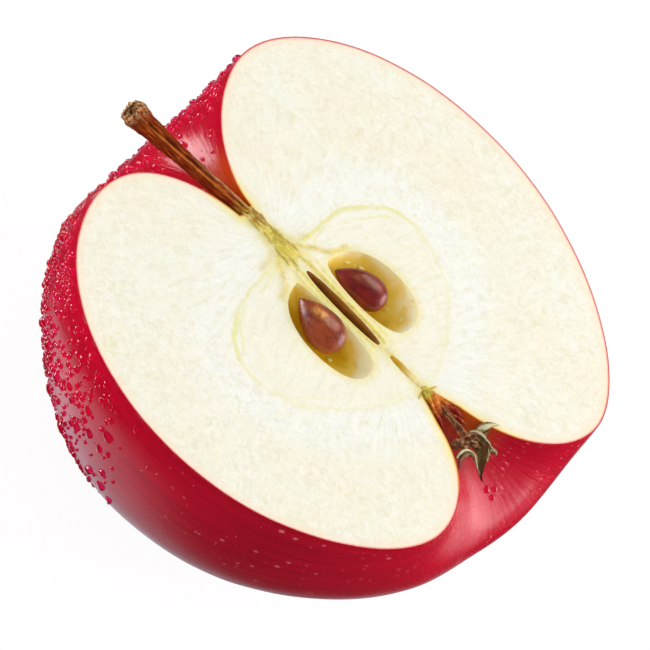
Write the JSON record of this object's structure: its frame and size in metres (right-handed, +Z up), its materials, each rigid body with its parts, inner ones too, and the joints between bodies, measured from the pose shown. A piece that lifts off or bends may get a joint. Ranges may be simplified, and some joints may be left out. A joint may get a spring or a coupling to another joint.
{
  "type": "apple half",
  "caption": "Red apple half cut lengthwise, cut face up, with stem, core, seeds in their pockets and dried calyx.",
  "frame": {"origin": "middle of the bottom of the whole half's box, on the level of the small flat spot that it rests on", "axes": "+Z up, out of the cut face; +X along the core towards the calyx end, the stem is at -X; +Y towards the larger lobe"},
  "size_m": [0.0717, 0.0772, 0.0409],
  "materials": {
    "skin": "waxy glossy red fruit skin; the cut face is moist cream-white flesh",
    "flesh": "moist cream-white apple flesh with fine fibres",
    "stem": "dry ridged woody stem",
    "seed": "smooth shiny brown seed coat",
    "calyx": "dry matt curled sepals",
    "water": "clear water droplets on the skin"
  },
  "bodies": {
    "root": {"apple_half": "skin", "stem": "stem", "seed_near": "seed", "seed_far": "seed", "calyx": "calyx"}
  },
  "joints": []
}
